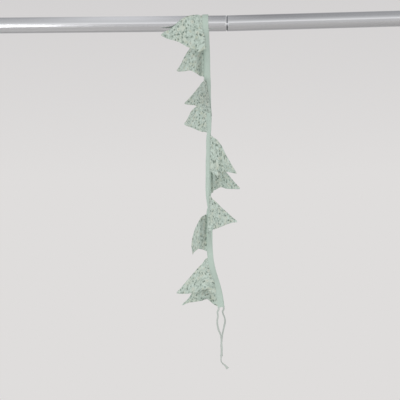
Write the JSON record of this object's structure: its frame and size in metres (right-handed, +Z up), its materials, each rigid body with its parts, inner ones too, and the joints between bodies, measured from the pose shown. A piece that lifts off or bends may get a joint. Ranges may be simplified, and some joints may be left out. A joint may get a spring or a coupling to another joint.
{
  "type": "fabric bunting on a garment rail",
  "caption": "Triangular printed cotton flags sewn into a folded binding tape with narrow ties, draped over a chromed garment rail.",
  "frame": {"origin": "middle of the outer face of the plug in the rail's left end, on the rail's axis", "axes": "+X along the left rail tube, +Y away from the viewer, +Z up"},
  "size_m": [0.8853, 0.1877, 0.7201],
  "materials": {
    "printed_cotton": "matt woven cotton, pale mint with a small floral print",
    "binding_cotton": "matt plain mint cotton, folded",
    "chromed_steel": "bright chrome plate",
    "grey_plastic": "moulded, matt"
  },
  "bodies": {
    "root": {"binding_tape": "binding_cotton", "flag_front_1": "printed_cotton", "flag_front_2": "printed_cotton", "flag_front_3": "printed_cotton", "flag_front_4": "printed_cotton", "flag_front_5": "printed_cotton", "flag_back_1": "printed_cotton", "flag_back_2": "printed_cotton", "flag_back_3": "printed_cotton", "flag_back_4": "printed_cotton", "flag_back_5": "printed_cotton", "tie_front": "binding_cotton", "tie_back": "binding_cotton", "rail_tube_left": "chromed_steel", "rail_tube_right": "chromed_steel", "rail_plug_left": "grey_plastic", "rail_plug_right": "grey_plastic"}
  },
  "joints": []
}
